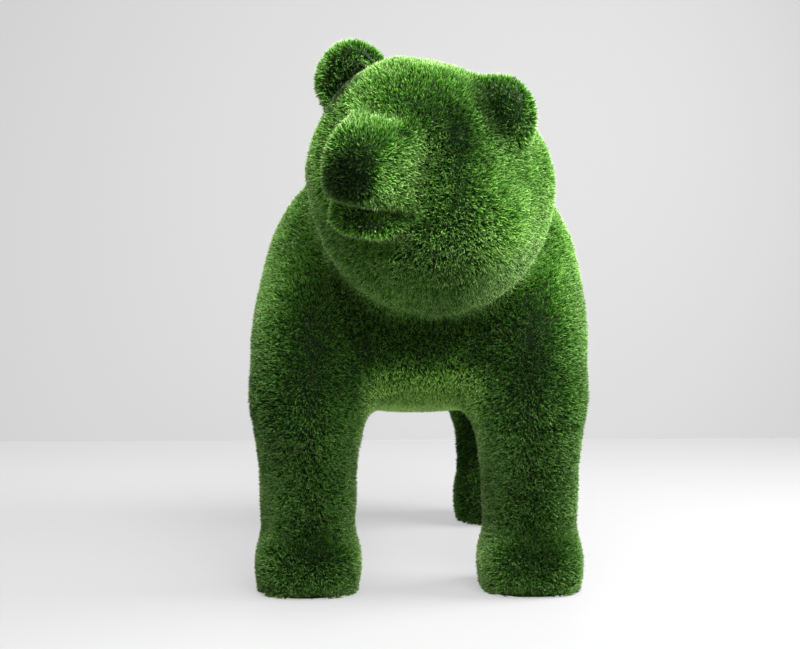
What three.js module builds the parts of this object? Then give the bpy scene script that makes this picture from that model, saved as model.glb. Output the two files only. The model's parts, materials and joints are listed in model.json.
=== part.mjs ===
// A standing bear clipped from artificial turf: one closed form on four legs, its head turned and tilted.
// The surface is the outer reach of the turf. Millimetres, +Z up, the bear looks towards -Y.

import * as THREE from 'three';

// Stance
const LEG_SPREAD_FRONT = 591;
const LEG_SPREAD_REAR = 604;
const LEG_DISTANCE = 1020;
const BELLY_CLEARANCE = 410;

// Trunk
const SHOULDER_WIDTH = 894;
const SHOULDER_HEIGHT = 1180;
const SHOULDER_LENGTH = 620;
const BELLY_TUCK = 11;
const BACK_HEIGHT = 1110;
const BELLY_LENGTH = 1036;
const RUMP_TUCK = 47;
const RUMP_HEIGHT = 1080;
const RUMP_LENGTH = 662;
const TRUNK_LENGTH = 1440;
const BELLY_WIDTH = SHOULDER_WIDTH - 2 * BELLY_TUCK;
const RUMP_WIDTH = SHOULDER_WIDTH - 2 * RUMP_TUCK;

// Legs and paws
const SHOULDER_BLADE_WIDTH = 316;
const SHOULDER_BLADE_HEIGHT = 520;
const FRONT_LEG_WIDTH = 302;
const FRONT_ANKLE_WIDTH = 246;
const THIGH_WIDTH = 330;
const THIGH_HEIGHT = 540;
const REAR_LEG_WIDTH = 304;
const REAR_ANKLE_WIDTH = 262;
const ANKLE_HEIGHT = 225;
const PAW_WIDTH = 282;
const REAR_PAW_WIDTH = 288;
const PAW_LENGTH = 318;
const PAW_HEIGHT = 178;

// Neck
const NECK_WIDTH = 632;
const NECK_DEPTH = 686;
const NECK_RISE = 262;
const NECK_LENGTH = 400;
const NECK_HEIGHT = 1070;

// Head
const HEAD_WIDTH = 490;
const HEAD_LENGTH = 480;
const HEAD_CENTRE_HEIGHT = 1095;
const HEAD_LEAD = 230;
const FOREHEAD_RISE = 288;
const JOWL_WIDTH = 468;
const JOWL_DROP = 300;
const HEAD_TURN_DEG = 27.5;
const HEAD_TILT_DEG = 14;
const HEAD_NOD_DEG = 3;

// Muzzle and jaw
const MUZZLE_REACH = 376;
const MUZZLE_BASE_WIDTH = 236;
const MUZZLE_BASE_HEIGHT = 300;
const NOSE_WIDTH = 142;
const NOSE_HEIGHT = 156;
const JAW_WIDTH = 138;
const JAW_BASE_WIDTH = 236;
const JAW_THICKNESS = 88;
const JAW_REACH = 290;
const EYE_HOLLOW_DEPTH = 38;

// Ears
const EAR_SPREAD = 410;
const EAR_WIDTH = 224;
const EAR_THICKNESS = 136;
const EAR_CUP_WIDTH = 118;
const EAR_CUP_HEIGHT = 164;
const EAR_CUP_DEPTH = 62;

// How softly one form runs into the next
const TRUNK_BLEND = 130;
const LIMB_BLEND = 70;
const PAW_BLEND = 26;
const NECK_BLEND = 45;
const HEAD_BLEND = 70;
const FACE_BLEND = 30;
const MOUTH_BLEND = 16;

// Spacing of the lattice that carries the surface
const FINE_SPACING = 29;
const MIDDLE_SPACING = 36;
const COARSE_SPACING = 72;

const TURF_GREEN = 0x3f7a1e;
const TURF_ROUGHNESS = 0.9;

// An egg: a rounded form whose upper and lower halves have heights of their own.
// A power over 2 squares its shoulders a little.
function egg(centre, halfWidth, halfLength, rise, drop, frame = null, power = 2) {
  const local = new THREE.Vector3();
  return (point) => {
    local.copy(point).sub(centre);
    if (frame) local.applyMatrix3(frame);
    const tall = local.z > 0 ? rise : drop;
    const x = Math.abs(local.x / halfWidth);
    const y = Math.abs(local.y / halfLength);
    const z = Math.abs(local.z / tall);
    const reach = (x ** power + y ** power + z ** power) ** (1 / power);
    const slope = Math.hypot(x / halfWidth, y / halfLength, z / tall);
    return slope < 1e-9 ? -Math.min(halfWidth, halfLength, tall) : reach * (reach - 1) / slope;
  };
}

// A limb that tapers between two balls.
function limb(start, end, startRadius, endRadius) {
  const axis = end.clone().sub(start);
  const lengthSq = axis.lengthSq();
  const offset = new THREE.Vector3();
  return (point) => {
    offset.copy(point).sub(start);
    const share = THREE.MathUtils.clamp(offset.dot(axis) / lengthSq, 0, 1);
    offset.addScaledVector(axis, -share);
    return offset.length() - THREE.MathUtils.lerp(startRadius, endRadius, share);
  };
}

// A block with well rounded sides, for paws and muzzle.
function pillow(centre, halfWidth, halfLength, halfHeight, power, frame = null) {
  const local = new THREE.Vector3();
  const least = Math.min(halfWidth, halfLength, halfHeight);
  return (point) => {
    local.copy(point).sub(centre);
    if (frame) local.applyMatrix3(frame);
    const sum = Math.abs(local.x / halfWidth) ** power
      + Math.abs(local.y / halfLength) ** power
      + Math.abs(local.z / halfHeight) ** power;
    return (sum ** (1 / power) - 1) * least;
  };
}

// A rounded, blunt-ended snout that widens from its tip at `tipY` back to `rootY` in the local frame.
function snout(centre, frame, tip, root, power, rounding) {
  const local = new THREE.Vector3();
  return (point) => {
    local.copy(point).sub(centre).applyMatrix3(frame);
    const share = THREE.MathUtils.clamp((local.y - tip.y) / (root.y - tip.y), 0, 1.15);
    const halfWidth = THREE.MathUtils.lerp(tip.halfWidth, root.halfWidth, share);
    const halfHeight = THREE.MathUtils.lerp(tip.halfHeight, root.halfHeight, share);
    const z = local.z - THREE.MathUtils.lerp(tip.z, root.z, share);
    const sum = Math.abs(local.x / halfWidth) ** power + Math.abs(z / halfHeight) ** power;
    const side = (sum ** (1 / power) - 1) * Math.min(halfWidth, halfHeight);
    const end = Math.max(tip.y - local.y, local.y - root.y);
    const h = Math.max(rounding - Math.abs(side - end), 0) / rounding;
    return Math.max(side, end) + h * h * rounding / 4;
  };
}

// Joins two forms with a rounded valley of the given reach.
function blend(first, second, reach) {
  return (point) => {
    const a = first(point);
    const b = second(point);
    const h = Math.max(reach - Math.abs(a - b), 0) / reach;
    return Math.min(a, b) - h * h * reach / 4;
  };
}

// Takes the second form out of the first, with a rounded rim.
function hollow(first, second, reach) {
  return (point) => {
    const a = first(point);
    const b = -second(point);
    const h = Math.max(reach - Math.abs(a - b), 0) / reach;
    return Math.max(a, b) + h * h * reach / 4;
  };
}

function blendAll(forms, reach) {
  return forms.reduce((whole, form) => blend(whole, form, reach));
}

const at = (x, y, z) => new THREE.Vector3(x, y, z);

// Trunk: shoulders, barrel and rump in a row
function trunk() {
  const middle = THREE.MathUtils.lerp(BELLY_CLEARANCE, BACK_HEIGHT, 0.42);
  const shoulderMiddle = middle - 0.02 * SHOULDER_WIDTH;
  const chestClearance = BELLY_CLEARANCE + 0.06 * SHOULDER_WIDTH;
  const shoulders = egg(
    at(0.017 * SHOULDER_WIDTH, -LEG_DISTANCE / 3, shoulderMiddle),
    SHOULDER_WIDTH / 2,
    SHOULDER_LENGTH / 2,
    SHOULDER_HEIGHT - shoulderMiddle,
    shoulderMiddle - chestClearance,
    null,
    2.4,
  );
  const barrel = egg(
    at(0, 0.07 * TRUNK_LENGTH, middle),
    BELLY_WIDTH / 2,
    BELLY_LENGTH / 2,
    BACK_HEIGHT - middle,
    middle - BELLY_CLEARANCE,
    null,
    2.2,
  );
  const rump = egg(
    at(0, 0.34 * TRUNK_LENGTH, middle),
    RUMP_WIDTH / 2,
    RUMP_LENGTH / 2,
    RUMP_HEIGHT - middle,
    0.92 * (middle - BELLY_CLEARANCE),
  );
  return blendAll([shoulders, barrel, rump], TRUNK_BLEND);
}

// A leg from its muscle down to its paw, standing at (x, y) with the ankle set back by `heel`.
function leg(x, y, muscle, legWidth, ankleWidth, pawWidth, heel) {
  const knee = BELLY_CLEARANCE + legWidth * 0.25;
  const ankle = at(x, y + heel, ANKLE_HEIGHT);
  const upper = limb(at(x, y, knee), ankle, legWidth / 2, ankleWidth / 2);
  const lower = limb(ankle, at(x, y + heel / 2, PAW_HEIGHT / 2), ankleWidth / 2, ankleWidth / 2);
  const paw = pillow(
    at(x, y - PAW_LENGTH * 0.03, PAW_HEIGHT * 0.38),
    pawWidth / 2,
    PAW_LENGTH / 2,
    PAW_HEIGHT * 0.62,
    2.8,
  );
  return blend(blend(blend(muscle, upper, LIMB_BLEND), lower, FACE_BLEND), paw, PAW_BLEND);
}

// One front leg with its shoulder
function frontLeg(side) {
  const y = -LEG_DISTANCE / 2 - PAW_LENGTH * 0.1;
  const bladeX = side * (SHOULDER_WIDTH - SHOULDER_BLADE_WIDTH) / 2;
  const half = SHOULDER_BLADE_HEIGHT / 2;
  const blade = egg(at(bladeX, y + 0.12 * SHOULDER_BLADE_HEIGHT, BELLY_CLEARANCE + 0.8 * half),
    SHOULDER_BLADE_WIDTH / 2, 0.83 * half, half, half);
  return leg(side * LEG_SPREAD_FRONT / 2, y, blade, FRONT_LEG_WIDTH, FRONT_ANKLE_WIDTH, PAW_WIDTH, 0);
}

// One rear leg with its thigh
function rearLeg(side) {
  const y = LEG_DISTANCE / 2 - PAW_LENGTH * 0.06;
  const thighX = side * (RUMP_WIDTH / 2 - 0.42 * THIGH_WIDTH);
  const half = THIGH_HEIGHT / 2;
  const thigh = egg(at(thighX, y + 0.08 * half, BELLY_CLEARANCE + 0.57 * half),
    THIGH_WIDTH / 2, 0.93 * half, half, half);
  const heel = 0.08 * PAW_LENGTH;
  return leg(side * LEG_SPREAD_REAR / 2, y, thigh, REAR_LEG_WIDTH, REAR_ANKLE_WIDTH, REAR_PAW_WIDTH, heel);
}

// Neck: a thick collar that leans out over the chest
function neck() {
  const collar = egg(
    at(0.05 * NECK_WIDTH, -LEG_DISTANCE / 2 - 0.35 * NECK_LENGTH, NECK_HEIGHT),
    NECK_WIDTH / 2,
    NECK_LENGTH / 2,
    NECK_RISE,
    NECK_DEPTH / 2,
  );
  const stem = limb(
    at(0, -LEG_DISTANCE / 2 + 0.475 * NECK_LENGTH, NECK_HEIGHT - 0.22 * NECK_DEPTH),
    at(0.03 * NECK_WIDTH, -LEG_DISTANCE / 2, NECK_HEIGHT - 0.07 * NECK_DEPTH),
    0.467 * NECK_WIDTH,
    0.42 * NECK_WIDTH,
  );
  return blend(collar, stem, LIMB_BLEND);
}

// Skull and jowls, with a shallow hollow beside the muzzle for each eye
function cranium(place, frame) {
  const skull = pillow(place(0, 0, 0), HEAD_WIDTH / 2, HEAD_LENGTH / 2, FOREHEAD_RISE, 3, frame);
  const underside = egg(
    place(0, 0, 0),
    0.528 * HEAD_WIDTH,
    0.528 * HEAD_LENGTH,
    1.05 * FOREHEAD_RISE,
    0.65 * FOREHEAD_RISE,
    frame,
  );
  const jowlDepth = 0.23 * JOWL_DROP;
  const jowls = egg(
    place(0.21 * JOWL_WIDTH, 0.04 * HEAD_LENGTH, -jowlDepth),
    JOWL_WIDTH / 2,
    0.45 * HEAD_LENGTH,
    0.6 * JOWL_DROP,
    JOWL_DROP - jowlDepth,
    frame,
  );
  let whole = blend((point) => Math.max(skull(point), underside(point)), jowls, LIMB_BLEND);
  for (const side of [-1, 1]) {
    const socket = egg(
      place(side * 0.32 * HEAD_WIDTH, -HEAD_LENGTH / 2, 0.22 * FOREHEAD_RISE),
      0.12 * HEAD_WIDTH,
      EYE_HOLLOW_DEPTH + 0.05 * HEAD_LENGTH,
      0.42 * FOREHEAD_RISE,
      0.45 * FOREHEAD_RISE,
      frame,
    );
    whole = hollow(whole, socket, LIMB_BLEND);
  }
  return whole;
}

// Blunt muzzle over a shorter lower jaw; the line of the mouth is the gap between them.
function face(centre, frame) {
  const rootY = -0.36 * HEAD_LENGTH;
  const muzzle = snout(
    centre,
    frame,
    { y: -MUZZLE_REACH, z: NOSE_HEIGHT / 6, halfWidth: NOSE_WIDTH / 2, halfHeight: NOSE_HEIGHT / 2 },
    { y: rootY, z: 0.26 * NOSE_HEIGHT, halfWidth: MUZZLE_BASE_WIDTH / 2, halfHeight: MUZZLE_BASE_HEIGHT / 2 },
    2.9,
    0.4 * NOSE_HEIGHT,
  );
  const jaw = snout(
    centre,
    frame,
    { y: -JAW_REACH, z: -0.68 * NOSE_HEIGHT, halfWidth: JAW_WIDTH / 2, halfHeight: JAW_THICKNESS / 2 },
    { y: rootY, z: -0.7 * NOSE_HEIGHT, halfWidth: JAW_BASE_WIDTH / 2, halfHeight: 0.5 * JAW_THICKNESS },
    2.4,
    0.57 * JAW_THICKNESS,
  );
  return { muzzle, jaw };
}

// A round, thick ear, cupped at the front
function ear(side, place, frame) {
  const x = side * EAR_SPREAD / 2 - 0.078 * EAR_SPREAD;
  const y = 0.125 * HEAD_LENGTH;
  const z = 0.645 * FOREHEAD_RISE;
  const disc = egg(place(x, y, z), EAR_WIDTH / 2, EAR_THICKNESS / 2, EAR_WIDTH / 2, EAR_WIDTH / 2, frame);
  const cup = egg(
    place(x - side * 0.12 * EAR_WIDTH, y - EAR_THICKNESS / 2, z - 0.04 * EAR_WIDTH),
    EAR_CUP_WIDTH / 2,
    EAR_CUP_DEPTH,
    EAR_CUP_HEIGHT / 2,
    EAR_CUP_HEIGHT / 2,
    frame,
  );
  return hollow(disc, cup, FACE_BLEND);
}

// Head, built in its own turned, nodding and tilted frame
function head() {
  const centre = at(-0.07 * HEAD_WIDTH, -LEG_DISTANCE / 2 - HEAD_LEAD, HEAD_CENTRE_HEIGHT);
  const turn = new THREE.Matrix4().makeRotationZ(THREE.MathUtils.degToRad(-HEAD_TURN_DEG));
  const nod = new THREE.Matrix4().makeRotationX(THREE.MathUtils.degToRad(HEAD_NOD_DEG));
  const tilt = new THREE.Matrix4().makeRotationY(THREE.MathUtils.degToRad(HEAD_TILT_DEG));
  const pose = turn.multiply(nod).multiply(tilt);
  const frame = new THREE.Matrix3().setFromMatrix4(pose).transpose();
  const place = (x, y, z) => at(x, y, z).applyMatrix4(pose).add(centre);
  const { muzzle, jaw } = face(centre, frame);
  let whole = blend(cranium(place, frame), muzzle, FACE_BLEND);
  whole = blend(whole, jaw, MOUTH_BLEND);
  for (const side of [-1, 1]) whole = blend(whole, ear(side, place, frame), FACE_BLEND);
  return whole;
}

function bear() {
  const sides = [-1, 1];
  let whole = trunk();
  for (const side of sides) whole = blend(whole, frontLeg(side), LIMB_BLEND);
  for (const side of sides) whole = blend(whole, rearLeg(side), LIMB_BLEND);
  whole = blend(whole, neck(), NECK_BLEND);
  return blend(whole, head(), HEAD_BLEND);
}

// Lattice planes along one axis, as far apart as `spacing` says at each place.
function planes(low, high, spacing) {
  const stops = [low];
  while (stops[stops.length - 1] < high) {
    const last = stops[stops.length - 1];
    stops.push(last + spacing(last));
  }
  return stops;
}

// Where a lattice face is inside at two opposite corners only, one outside corner is filled,
// so that the surface never touches itself along an edge.
function fillTightFolds(value, [nx, ny, nz], node) {
  const steps = [[1, 0, 0], [0, 1, 0], [0, 0, 1]];
  const justInside = -0.5;
  let changed = true;
  while (changed) {
    changed = false;
    for (let k = 0; k < nz - 1; k += 1) {
      for (let j = 0; j < ny - 1; j += 1) {
        for (let i = 0; i < nx - 1; i += 1) {
          for (let turn = 0; turn < 3; turn += 1) {
            const [a, b] = [steps[turn], steps[(turn + 1) % 3]];
            const face = [
              node(i, j, k),
              node(i + a[0], j + a[1], k + a[2]),
              node(i + a[0] + b[0], j + a[1] + b[1], k + a[2] + b[2]),
              node(i + b[0], j + b[1], k + b[2]),
            ];
            const inside = face.map((n) => value[n] < 0);
            if (inside[0] !== inside[2] || inside[1] !== inside[3] || inside[0] === inside[1]) continue;
            const outer = inside[0] ? [face[1], face[3]] : [face[0], face[2]];
            const nearest = value[outer[0]] < value[outer[1]] ? outer[0] : outer[1];
            value[nearest] = justInside;
            changed = true;
          }
        }
      }
    }
  }
}

// Follows the zero surface of a field through a lattice, closed by a flat sole at the floor.
function surfaceOf(field, xs, ys, zs) {
  const [nx, ny, nz] = [xs.length, ys.length, zs.length];
  const node = (i, j, k) => (k * ny + j) * nx + i;
  const value = new Float64Array(nx * ny * nz);
  const point = new THREE.Vector3();
  for (let k = 0; k < nz; k += 1) {
    for (let j = 0; j < ny; j += 1) {
      for (let i = 0; i < nx; i += 1) {
        const depth = field(point.set(xs[i], ys[j], zs[k]));
        value[node(i, j, k)] = zs[k] < 0 ? Math.max(depth, -zs[k]) : depth;
      }
    }
  }

  fillTightFolds(value, [nx, ny, nz], node);

  const corner = new Map();
  const positions = [];
  const probe = new THREE.Vector3();
  const slopeAt = (p) => {
    const e = 1.5;
    const grad = new THREE.Vector3(
      field(probe.copy(p).setX(p.x + e)) - field(probe.copy(p).setX(p.x - e)),
      field(probe.copy(p).setY(p.y + e)) - field(probe.copy(p).setY(p.y - e)),
      field(probe.copy(p).setZ(p.z + e)) - field(probe.copy(p).setZ(p.z - e)),
    );
    return grad.divideScalar(2 * e);
  };
  const cellVertex = (i, j, k) => {
    const key = node(i, j, k);
    if (corner.has(key)) return corner.get(key);
    const sum = new THREE.Vector3();
    let crossings = 0;
    const cross = (a, b) => {
      const va = value[node(...a)];
      const vb = value[node(...b)];
      if ((va < 0) === (vb < 0)) return;
      const share = va / (va - vb);
      sum.x += THREE.MathUtils.lerp(xs[a[0]], xs[b[0]], share);
      sum.y += THREE.MathUtils.lerp(ys[a[1]], ys[b[1]], share);
      sum.z += THREE.MathUtils.lerp(zs[a[2]], zs[b[2]], share);
      crossings += 1;
    };
    for (const [u, v] of [[0, 0], [0, 1], [1, 0], [1, 1]]) {
      cross([i, j + u, k + v], [i + 1, j + u, k + v]);
      cross([i + u, j, k + v], [i + u, j + 1, k + v]);
      cross([i + u, j + v, k], [i + u, j + v, k + 1]);
    }
    const vertex = sum.divideScalar(crossings);
    const onFloor = zs[k] < 0;
    if (onFloor) vertex.z = 0;
    const above = [[0, 0], [0, 1], [1, 0], [1, 1]].map(([u, v]) => value[node(i + u, j + v, k + 1)] < 0);
    const insideSole = onFloor && above.every(Boolean);
    const limit = 0.3 * Math.min(xs[i + 1] - xs[i], ys[j + 1] - ys[j], zs[k + 1] - zs[k]);
    for (let step = 0; step < 3 && !insideSole; step += 1) {
      const slope = slopeAt(vertex);
      if (onFloor) slope.z = 0;
      const move = THREE.MathUtils.clamp(-field(vertex) / Math.max(slope.length(), 0.2), -limit, limit);
      vertex.addScaledVector(slope.normalize(), move);
    }
    corner.set(key, positions.length / 3);
    positions.push(vertex.x, vertex.y, vertex.z);
    return corner.get(key);
  };

  const triangles = [];
  const spot = (n) => at(positions[3 * n], positions[3 * n + 1], positions[3 * n + 2]);
  const quad = (a, b, c, d, flip) => {
    const [p, q, r, s] = flip ? [a, d, c, b] : [a, b, c, d];
    if (spot(p).distanceTo(spot(r)) < spot(q).distanceTo(spot(s))) triangles.push(p, q, r, p, r, s);
    else triangles.push(q, r, s, q, s, p);
  };
  for (let k = 1; k < nz - 1; k += 1) {
    for (let j = 1; j < ny - 1; j += 1) {
      for (let i = 1; i < nx - 1; i += 1) {
        const here = value[node(i, j, k)] < 0;
        if (here !== value[node(i + 1, j, k)] < 0) {
          quad(
            cellVertex(i, j - 1, k - 1),
            cellVertex(i, j, k - 1),
            cellVertex(i, j, k),
            cellVertex(i, j - 1, k),
            !here,
          );
        }
        if (here !== value[node(i, j + 1, k)] < 0) {
          quad(
            cellVertex(i - 1, j, k - 1),
            cellVertex(i - 1, j, k),
            cellVertex(i, j, k),
            cellVertex(i, j, k - 1),
            !here,
          );
        }
        if (here !== value[node(i, j, k + 1)] < 0) {
          quad(
            cellVertex(i - 1, j - 1, k),
            cellVertex(i, j - 1, k),
            cellVertex(i, j, k),
            cellVertex(i - 1, j, k),
            !here,
          );
        }
      }
    }
  }
  const geometry = new THREE.BufferGeometry();
  geometry.setAttribute('position', new THREE.Float32BufferAttribute(positions, 3));
  geometry.setIndex(triangles);
  return geometry;
}

// The bear in its frame: soles on the floor, the middle of its outline over the origin.
function bearGeometry() {
  const margin = 2 * COARSE_SPACING;
  const half = Math.max(SHOULDER_WIDTH, BELLY_WIDTH) / 2 + margin;
  const front = -LEG_DISTANCE / 2 - HEAD_LEAD - 1.2 * MUZZLE_REACH;
  const back = 0.34 * TRUNK_LENGTH + RUMP_LENGTH / 2 + margin;
  const top = HEAD_CENTRE_HEIGHT + FOREHEAD_RISE + EAR_WIDTH / 2 + margin;
  const xs = planes(-half, half, () => MIDDLE_SPACING);
  const headBack = -LEG_DISTANCE / 2 - FRONT_ANKLE_WIDTH / 2;
  const ys = planes(front, back, (y) => (y < headBack ? FINE_SPACING : COARSE_SPACING));
  const zs = planes(-1.5 * MIDDLE_SPACING, top, (z) => {
    if (z < PAW_HEIGHT) return MIDDLE_SPACING;
    return z > NECK_HEIGHT - NECK_DEPTH / 2 ? FINE_SPACING : COARSE_SPACING;
  });
  const geometry = surfaceOf(bear(), xs, ys, zs);
  geometry.computeBoundingBox();
  const middle = geometry.boundingBox.getCenter(new THREE.Vector3());
  geometry.translate(-middle.x, -middle.y, 0);
  geometry.computeVertexNormals();
  return geometry;
}

const turf = new THREE.MeshStandardMaterial({ color: TURF_GREEN, roughness: TURF_ROUGHNESS, metalness: 0 });
const figure = new THREE.Mesh(bearGeometry(), turf);
figure.name = 'topiary_bear';

const group = new THREE.Group();
group.name = 'topiary_bear_figure';
group.add(figure);

export default group;
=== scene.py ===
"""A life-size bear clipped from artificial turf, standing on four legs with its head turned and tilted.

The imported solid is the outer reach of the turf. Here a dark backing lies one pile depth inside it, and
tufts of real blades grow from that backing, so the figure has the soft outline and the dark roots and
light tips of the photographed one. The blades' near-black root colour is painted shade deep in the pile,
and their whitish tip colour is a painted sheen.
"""

import json
import logging
import math
from dataclasses import dataclass, field
from enum import Enum

import bmesh
import bpy
import numpy as np
from mathutils import Matrix, Vector

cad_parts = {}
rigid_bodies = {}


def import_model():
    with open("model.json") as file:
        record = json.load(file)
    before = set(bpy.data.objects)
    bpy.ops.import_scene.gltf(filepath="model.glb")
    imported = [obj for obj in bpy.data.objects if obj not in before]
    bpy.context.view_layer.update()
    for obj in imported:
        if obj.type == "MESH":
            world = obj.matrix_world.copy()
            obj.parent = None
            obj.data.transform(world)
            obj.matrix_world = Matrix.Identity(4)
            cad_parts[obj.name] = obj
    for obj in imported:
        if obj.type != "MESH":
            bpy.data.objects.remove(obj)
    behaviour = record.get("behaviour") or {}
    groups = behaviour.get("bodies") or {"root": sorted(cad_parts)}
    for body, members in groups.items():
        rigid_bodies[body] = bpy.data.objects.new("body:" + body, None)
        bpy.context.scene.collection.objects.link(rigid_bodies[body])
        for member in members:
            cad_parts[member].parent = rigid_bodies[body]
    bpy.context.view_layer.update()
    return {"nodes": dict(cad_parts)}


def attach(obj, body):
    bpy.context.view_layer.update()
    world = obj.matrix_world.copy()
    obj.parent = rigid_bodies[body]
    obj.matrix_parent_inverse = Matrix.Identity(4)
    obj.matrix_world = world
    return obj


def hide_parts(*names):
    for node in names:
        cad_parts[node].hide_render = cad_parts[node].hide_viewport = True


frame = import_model()

LOG = logging.getLogger("topiary_bear")

NODE = "topiary_bear"
BODY = "root"

# How deep the backing lies under the solid's surface, and how high a sole is over the floor, in metres.
PILE_DEPTH = 0.021
SOLE_HEIGHT = 0.0015

UV_NAME = "OFBake"
TUFT_ATTRIBUTE = "tuft_tone"
# Surface attribute of painted shade on the nose, ears and legs and painted light under the belly.
PAINTED_LIGHT_ATTRIBUTE = "shade"

# Tones that the blades' UV map holds: dry thatch has the lowest, and no green blade comes near it.
DRY_TONE = 0.03
DRY_LIMIT = 0.06
LEAST_TONE = 0.085
BLADE_TONES = (0.1, 0.98)
TONE_STEP = 0.02

# Numbers of the sockets that share a name on their node.
MIX_FIRST = 6
MIX_SECOND = 7
MIX_RESULT = 2
RANDOM_VECTOR = 0
RANDOM_NUMBER = 1

Point = tuple[float, float, float]
Colour = tuple[float, float, float]
Face = tuple[int, ...]
Coord = tuple[float, float]


class Region(Enum):
    """The parts of the figure that carry a turf piece of their own."""

    HEAD = "turf_head"
    CHEST = "turf_chest"
    FRONT_LEGS = "turf_front_legs"
    BARREL = "turf_barrel"
    RUMP = "turf_rump"


class Light(Enum):
    """The soft sources of the studio."""

    RIGHT_WINDOW = "right_window"
    LEFT_WINDOW = "left_window"
    CEILING = "ceiling"
    SOFTBOX = "head_softbox"


@dataclass(frozen=True)
class TurfFinish:
    """Colours of the blades from root to tip, and how matt they are.

    Args:
        root: Near-black colour deep in the pile, painted shade.
        middle: Colour half way up a blade.
        tip: Whitish colour at the cut end, a painted sheen.
        thatch: Colour of the few dry, curled blades.
        roughness: Roughness of the plastic blades.
    """

    root: Colour
    middle: Colour
    tip: Colour
    thatch: Colour
    roughness: float

    def material(self) -> bpy.types.Material:
        """Builds the blade material, which reads only the piece's own UV map.

        Returns:
            The material, with the blade colour group feeding its base colour and roughness.
        """
        mat = bpy.data.materials.new("turf_blades")
        mat.use_nodes = True
        tree = mat.node_tree
        shader = tree.nodes["Principled BSDF"]
        uv = tree.nodes.new("ShaderNodeUVMap")
        uv.uv_map = UV_NAME
        split = tree.nodes.new("ShaderNodeSeparateXYZ")
        group = tree.nodes.new("ShaderNodeGroup")
        group.node_tree = blade_colour_group()
        for name in ("Root", "Middle", "Tip", "Thatch"):
            group.inputs[name].default_value = (*getattr(self, name.lower()), 1.0)
        group.inputs["Base Roughness"].default_value = self.roughness
        tree.links.new(uv.outputs["UV"], split.inputs["Vector"])
        tree.links.new(split.outputs["X"], group.inputs["Tone"])
        tree.links.new(split.outputs["Y"], group.inputs["Along"])
        tree.links.new(group.outputs["Color"], shader.inputs["Base Color"])
        tree.links.new(group.outputs["Roughness"], shader.inputs["Roughness"])
        shader.inputs["Specular IOR Level"].default_value = 0.1
        return mat


@dataclass(frozen=True)
class BackingFinish:
    """The dark woven backing and thatch that shows between the blades.

    Args:
        dark: Colour of the backing.
        light: Colour of the dusty thatch on it.
        scale: How many patches of thatch there are per metre.
    """

    dark: Colour
    light: Colour
    scale: float

    def material(self) -> bpy.types.Material:
        """Builds the backing material from object coordinates.

        Returns:
            The material, with the thatch group feeding its base colour and roughness.
        """
        mat = bpy.data.materials.new("turf_backing")
        mat.use_nodes = True
        tree = mat.node_tree
        shader = tree.nodes["Principled BSDF"]
        coord = tree.nodes.new("ShaderNodeTexCoord")
        group = tree.nodes.new("ShaderNodeGroup")
        group.node_tree = thatch_group()
        group.inputs["Dark"].default_value = (*self.dark, 1.0)
        group.inputs["Light"].default_value = (*self.light, 1.0)
        group.inputs["Scale"].default_value = self.scale
        tree.links.new(coord.outputs["Object"], group.inputs["Vector"])
        tree.links.new(group.outputs["Color"], shader.inputs["Base Color"])
        tree.links.new(group.outputs["Roughness"], shader.inputs["Roughness"])
        return mat


@dataclass(frozen=True)
class StageFinish:
    """A plain matt surface of the studio, which isn't part of the object.

    Args:
        name: Material name.
        colour: Its colour.
        roughness: Its roughness.
        glow: Light of its own, which keeps the studio's shadows pale.
    """

    name: str
    colour: Colour
    roughness: float
    glow: float

    def material(self) -> bpy.types.Material:
        """Builds the plain material, which is clear from behind, so that the backdrop hides no view.

        Returns:
            The material.
        """
        mat = bpy.data.materials.new(self.name)
        mat.use_nodes = True
        nodes = mat.node_tree.nodes
        links = mat.node_tree.links
        shader = nodes["Principled BSDF"]
        shader.inputs["Base Color"].default_value = (*self.colour, 1.0)
        shader.inputs["Roughness"].default_value = self.roughness
        shader.inputs["Specular IOR Level"].default_value = 0.2
        shader.inputs["Emission Color"].default_value = (1.0, 1.0, 1.0, 1.0)
        shader.inputs["Emission Strength"].default_value = self.glow
        side = nodes.new("ShaderNodeNewGeometry")
        clear = nodes.new("ShaderNodeBsdfTransparent")
        one_sided = nodes.new("ShaderNodeMixShader")
        links.new(side.outputs["Backfacing"], one_sided.inputs["Fac"])
        links.new(shader.outputs["BSDF"], one_sided.inputs[1])
        links.new(clear.outputs["BSDF"], one_sided.inputs[2])
        links.new(one_sided.outputs["Shader"], nodes["Material Output"].inputs["Surface"])
        return mat


def mix_colours(tree: bpy.types.NodeTree) -> bpy.types.Node:
    """Adds a colour mix node.

    Args:
        tree: The node tree it goes in.

    Returns:
        The node, whose colour sockets are MIX_FIRST, MIX_SECOND and MIX_RESULT.
    """
    node = tree.nodes.new("ShaderNodeMix")
    node.data_type = "RGBA"
    return node


def map_range(
    tree: bpy.types.NodeTree, start: tuple[float, float], end: tuple[float, float]
) -> bpy.types.Node:
    """Adds a node that maps one range of values to another.

    Args:
        tree: The node tree it goes in.
        start: The range that comes in.
        end: The range that goes out.

    Returns:
        The node, with Value in and Result out.
    """
    node = tree.nodes.new("ShaderNodeMapRange")
    node.inputs["From Min"].default_value, node.inputs["From Max"].default_value = start
    node.inputs["To Min"].default_value, node.inputs["To Max"].default_value = end
    return node


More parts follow.
